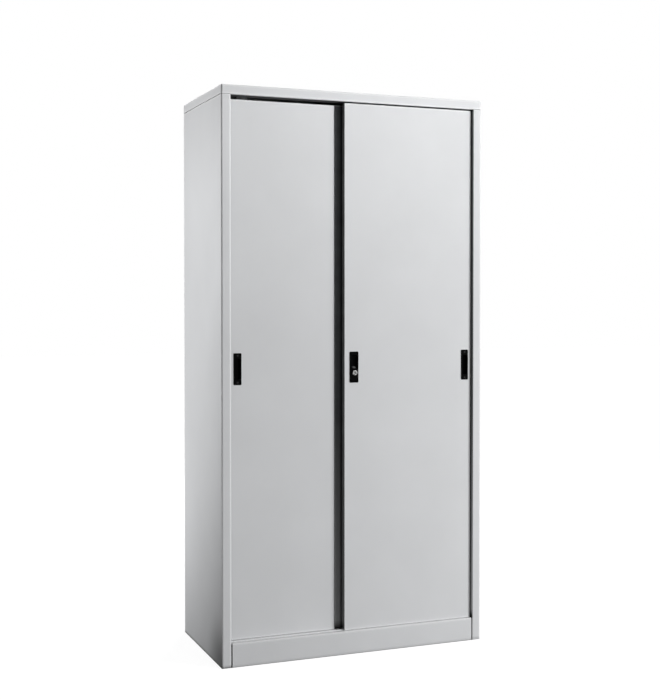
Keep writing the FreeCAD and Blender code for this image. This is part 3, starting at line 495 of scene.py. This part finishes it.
def moulded_nylon(name, colour):
    """Off-white nylon with flow marks and a waxy surface."""
    finish = Finish(name)
    finish.set(Specular_IOR_Level=0.5)
    flow = finish.noise(NYLON_FLOW, detail=4.0)
    finish.colour_from(finish.mottled(flow, colour, darkest=0.93, lightest=1.04))
    finish.roughness_from(flow, smoothest=0.35, roughest=0.5)
    finish.relief_from((finish.noise(NYLON_GRAIN.size), NYLON_GRAIN.depth))
    return finish.material


def turned_plating(name, colour, centre):
    """Plating over turned rings round the lock's axis, a little tarnished."""
    finish = Finish(name)
    finish.set(Metallic=1.0)
    values = {"Scale": 1.0, "Distortion": 0.4, "Detail": 2.0}
    rings = finish.node("TexWave", values, wave_type="RINGS", rings_direction="Y")
    finish.link(finish.place(LOCK_RINGS.size, centre), "Vector", rings, "Vector")
    tarnish = finish.noise(LOCK_TARNISH, detail=4.0)
    finish.colour_from(finish.mottled(tarnish, colour, darkest=0.9, lightest=1.05))
    finish.roughness_from(tarnish, smoothest=0.12, roughest=0.24)
    finish.relief_from((rings, LOCK_RINGS.depth))
    return finish.material


def zinc_plate(name, colour):
    """Zinc plating: patches of slightly different grey and a soft satin."""
    finish = Finish(name)
    finish.set(Metallic=0.9)
    spangle = finish.node("TexVoronoi", {"Scale": 1.0, "Randomness": 1.0})
    finish.link(finish.place(ZINC_SPANGLE), "Vector", spangle, "Vector")
    patch = finish.node("SeparateColor")
    finish.link(spangle, "Color", patch, "Color")
    finish.colour_from(finish.shades(patch, "Red", colour, darkest=0.88, lightest=1.1))
    scuffs = finish.noise(ZINC_SCUFFS.size, detail=4.0)
    finish.roughness_from(scuffs, smoothest=0.28, roughest=0.46)
    finish.relief_from((scuffs, ZINC_SCUFFS.depth))
    return finish.material


def blackened_steel(name, colour):
    """Black oxide on screw heads, worn a little brighter in patches."""
    finish = Finish(name)
    finish.set(Specular_IOR_Level=0.08)
    rubbing_and_sheen = finish.noise(SCREW_RUBBING.size, detail=4.0)
    finish.colour_from(finish.mottled(rubbing_and_sheen, colour, darkest=0.7, lightest=1.8))
    finish.roughness_from(rubbing_and_sheen, smoothest=0.3, roughest=0.5)
    finish.relief_from((rubbing_and_sheen, SCREW_RUBBING.depth))
    return finish.material


# Operators for the pieces


class CABINET_OT_coat_carcass(bpy.types.Operator):
    """Powder-coat the sheet-steel carcass and its shelves"""

    bl_idname = "cabinet.coat_carcass"
    bl_label = "Coat Carcass"

    def execute(self, context):
        paint = settings(context).paint
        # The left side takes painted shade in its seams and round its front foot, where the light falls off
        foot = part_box(CORNER_SHADED_SIDE)[0]
        give((CORNER_SHADED_SIDE,), powder_coat("kicked_paint", paint, paint.seam_shade, corner_shade_at=foot))
        # The skins take painted shade in their seams and along the floor
        give(SKINS, powder_coat("skin_paint", paint, paint.seam_shade, floor_shaded=True))
        # The ledge takes painted top light on its upward faces and painted shade along the floor
        give(LEDGE, powder_coat("ledge_paint", paint, top_light_painted=True, floor_shaded=True))
        give(INNER_SHEETS + UPRIGHTS + SHELVES, powder_coat("carcass_paint", paint))
        return {"FINISHED"}


class CABINET_OT_coat_doors(bpy.types.Operator):
    """Powder-coat the two sliding doors and their stiffeners"""

    bl_idname = "cabinet.coat_doors"
    bl_label = "Coat Doors"

    def execute(self, context):
        give(DOORS, powder_coat("door_paint", settings(context).paint))
        return {"FINISHED"}


class CABINET_OT_fit_strips(bpy.types.Operator):
    """Finish the rubber seals and buffers and the dark top track"""

    bl_idname = "cabinet.fit_strips"
    bl_label = "Fit Strips and Track"

    def execute(self, context):
        fittings = settings(context).fittings
        give(STRIPS, extruded_rubber("strip_rubber", fittings.rubber, fittings))
        give((EDGE_SEAL,), extruded_rubber("edge_seal_rubber", fittings.edge_rubber, fittings))
        give(("top_track",), coated_track("track_coat", fittings.track))
        return {"FINISHED"}


class CABINET_OT_mould_pulls(bpy.types.Operator):
    """Finish the recessed pulls, the screws that hold them and the doors' guides"""

    bl_idname = "cabinet.mould_pulls"
    bl_label = "Mould Pulls"

    def execute(self, context):
        fittings = settings(context).fittings
        give(PULLS, plain_plastic("pull_plastic", fittings.plastic))
        give(GUIDES, plain_plastic("guide_plastic", fittings.guide))
        give(PULL_SCREWS, blackened_steel("pull_screw_black", fittings.screw))
        return {"FINISHED"}


class CABINET_OT_plate_lock(bpy.types.Operator):
    """Finish the lock's pull, plate its cylinder and plug, and zinc the works behind them"""

    bl_idname = "cabinet.plate_lock"
    bl_label = "Plate Lock"

    def execute(self, context):
        fittings = settings(context).fittings
        low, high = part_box("lock_plug")
        axis = (low + high) / 2
        give(("lock_barrel",), turned_plating("lock_plating", fittings.chrome, axis))
        give(("lock_plug",), turned_plating("plug_plating", fittings.plug, axis))
        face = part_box("lock_pull")[0].y
        # Painted highlight on the pull's slope just above the lock
        shoulder = (axis.x, face, axis.z + fittings.highlight_rise)
        give(("lock_pull",), highlighted_plastic("lock_pull_plastic", fittings, shoulder))
        give(LOCK_WORKS, zinc_plate("lock_zinc", fittings.zinc))
        return {"FINISHED"}


class CABINET_OT_finish_running_gear(bpy.types.Operator):
    """Finish the rollers, brackets, clips and body screws"""

    bl_idname = "cabinet.finish_running_gear"
    bl_label = "Finish Running Gear"

    def execute(self, context):
        fittings = settings(context).fittings
        give(ROLLERS, moulded_nylon("roller_nylon", fittings.nylon))
        give(BRACKETS + BODY_FASTENERS, zinc_plate("bracket_zinc", fittings.zinc))
        return {"FINISHED"}


# Stage


class Surroundings(Nodes):
    """The nodes of the floor or the world: white to the eye, and plain in the light that they give."""

    def seen(self):
        """One for rays from the camera and for mirrored and refracted ones, and zero for the rest."""
        path = self.node("LightPath")
        total, output = path, "Is Camera Ray"
        for ray in ("Is Glossy Ray", "Is Transmission Ray"):
            either = self.node("Math", operation="MAXIMUM")
            self.link(total, output, either, 0)
            self.link(path, ray, either, 1)
            total, output = either, "Value"
        return total

    def lift_by_distance(self, stage):
        """Lift of the floor, growing from beside the cabinet to the far floor so that no horizon shows."""
        distance = self.node("VectorMath", operation="LENGTH")
        self.link(self.node("TexCoord"), "Object", distance, 0)
        return self.spread(
            distance, "Value", stage.near_lift, stage.far_lift, start=stage.near_reach, stop=stage.far_reach
        )


def rectangle(low, high):
    """Corners of a level rectangle on the floor, in turn from its lowest one."""
    return [(low[0], low[1], 0), (high[0], low[1], 0), (high[0], high[1], 0), (low[0], high[1], 0)]


def studio_floor(stage):
    """Pale floor that keeps the cabinet's shadow, looks near white, and is plain under the cabinet."""
    half = stage.floor_size / 2
    corners = rectangle((-half, -half), (half, half)) + rectangle(*CAD_BOX)
    around = [(side, (side + 1) % 4, 4 + (side + 1) % 4, 4 + side) for side in range(4)]
    under = (4, 5, 6, 7)
    mesh = bpy.data.meshes.new("studio_floor")
    mesh.from_pydata(corners, [], [*around, under])
    floor = bpy.data.objects.new("studio_floor", mesh)
    bpy.context.scene.collection.objects.link(floor)
    mesh.materials.append(floor_material("studio_floor", stage, lifted=True))
    mesh.materials.append(floor_material("covered_floor", stage, lifted=False))
    mesh.polygons[-1].material_index = 1


def floor_material(name, stage, lifted):
    """Matt floor paint and, where it is lifted, the white that only the camera and mirrors see."""
    material = bpy.data.materials.new(name)
    floor = Surroundings(material)
    surface = floor.node("BsdfDiffuse", {"Color": (*stage.floor_colour, 1.0)})
    if lifted:
        strength = floor.node("Math", operation="MULTIPLY")
        floor.link(floor.seen(), "Value", strength, 0)
        floor.link(floor.lift_by_distance(stage), "Result", strength, 1)
        lift = floor.node("Emission")
        floor.link(strength, "Value", lift, "Strength")
        both = floor.node("AddShader")
        floor.link(surface, 0, both, 0)
        floor.link(lift, 0, both, 1)
        surface = both
    floor.link(surface, 0, floor.node("OutputMaterial"), "Surface")
    return material


def studio_world(stage):
    """White surroundings to the eye, and a plain dim light from all round on the cabinet."""
    world = bpy.data.worlds.new("studio")
    sky = Surroundings(world)
    background = sky.node("Background", {"Color": (1.0, 1.0, 1.0, 1.0)})
    strength = sky.spread(sky.seen(), "Value", stage.ambient, 1.0, start=0.0, stop=1.0)
    sky.link(strength, "Result", background, "Strength")
    sky.link(background, "Background", sky.node("OutputWorld"), "Surface")
    bpy.context.scene.world = world


def hang_softbox(name, softbox, power):
    """Square soft lamp, turned to its target."""
    data = bpy.data.lights.new(name, "AREA")
    data.size = softbox.width
    data.energy = power
    data.spread = softbox.spread
    lamp = bpy.data.objects.new(name, data)
    bpy.context.scene.collection.objects.link(lamp)
    lamp.location = softbox.place
    aim = Vector(softbox.target) - Vector(softbox.place)
    lamp.rotation_euler = aim.to_track_quat("-Z", "Y").to_euler()


def photo_camera():
    """Camera at the photograph's viewing angle, with its small lens shift."""
    data = bpy.data.cameras.new("photo_camera")
    data.sensor_width = SENSOR
    data.lens = FOCAL_PIXELS / PHOTO_HEIGHT * SENSOR
    data.shift_y = (AXIS_ROW - PHOTO_HEIGHT / 2) / PHOTO_HEIGHT
    camera = bpy.data.objects.new("photo_camera", data)
    bpy.context.scene.collection.objects.link(camera)
    camera.location = CAMERA_PLACE
    camera.rotation_euler = Euler((math.radians(90 - CAMERA_DIP), 0.0, math.radians(-CAMERA_TURN)))
    bpy.context.scene.camera = camera


class CABINET_OT_set_stage(bpy.types.Operator):
    """Lay the floor, set the lamps and the white surroundings, and place the camera"""

    bl_idname = "cabinet.set_stage"
    bl_label = "Set Stage"

    def execute(self, context):
        stage = settings(context).stage
        studio_floor(stage)
        studio_world(stage)
        for name, softbox in SOFTBOXES.items():
            hang_softbox(f"{name}_softbox", softbox, getattr(stage, f"{name}_power"))
        photo_camera()
        context.scene.view_settings.view_transform = "Standard"
        return {"FINISHED"}


OPERATORS = (
    CABINET_OT_coat_carcass,
    CABINET_OT_coat_doors,
    CABINET_OT_fit_strips,
    CABINET_OT_mould_pulls,
    CABINET_OT_plate_lock,
    CABINET_OT_finish_running_gear,
    CABINET_OT_set_stage,
)


class CABINET_PT_build(bpy.types.Panel):
    """Steps that finish the cabinet"""

    bl_idname = "CABINET_PT_build"
    bl_label = "Sliding Door Cabinet"
    bl_space_type = "VIEW_3D"
    bl_region_type = "UI"
    bl_category = "Cabinet"

    def draw(self, context):
        for operator in OPERATORS:
            self.layout.operator(operator.bl_idname)


CLASSES = (
    CabinetPaintSettings,
    CabinetFittingSettings,
    CabinetStageSettings,
    CabinetSettings,
    *OPERATORS,
    CABINET_PT_build,
)


def register():
    for cls in CLASSES:
        bpy.utils.register_class(cls)
    bpy.types.Scene.cabinet = PointerProperty(
        name="Cabinet", description="Settings of the sliding door cabinet", type=CabinetSettings
    )


def unregister():
    del bpy.types.Scene.cabinet
    for cls in reversed(CLASSES):
        bpy.utils.unregister_class(cls)


def main():
    register()
    for operator in OPERATORS:
        group, name = operator.bl_idname.split(".")
        getattr(getattr(bpy.ops, group), name)()


if __name__ == "__main__":
    main()
